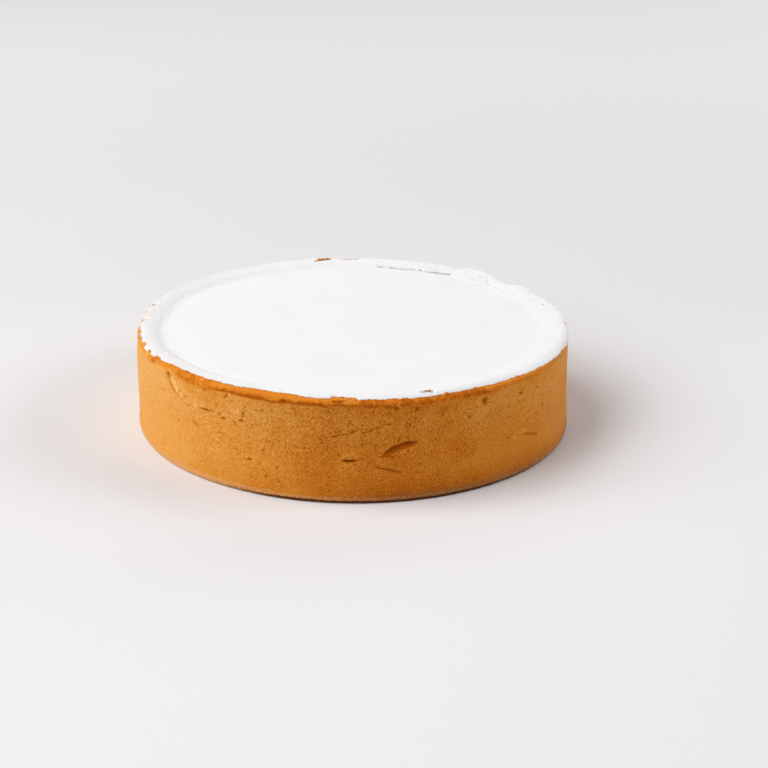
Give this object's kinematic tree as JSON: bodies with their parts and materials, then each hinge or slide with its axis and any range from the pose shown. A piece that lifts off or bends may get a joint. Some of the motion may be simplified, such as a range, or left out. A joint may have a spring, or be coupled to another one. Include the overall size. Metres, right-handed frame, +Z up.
{
  "type": "lemon tart",
  "caption": "Deep round lemon tart, whole and uncut: straight-sided golden shortcrust case, lemon filling, and a thick coat of icing sugar over the top and rim.",
  "frame": {"origin": "centre of the tart's base, on the surface it stands on", "axes": "+Z up through the middle of the tart, +X to the right and -Y to the front as the tart is seen from its front"},
  "size_m": [0.2428, 0.2422, 0.0583],
  "materials": {
    "pastry": "dry baked shortcrust, golden brown, finely pored, browner at the lip, sandy at the foot",
    "filling": "smooth set lemon filling, soft satin yellow",
    "sugar": "sifted icing sugar, matte white, softly grainy"
  },
  "bodies": {
    "root": {"pastry_case": "pastry", "lemon_filling": "filling", "icing_sugar": "sugar"}
  },
  "joints": []
}
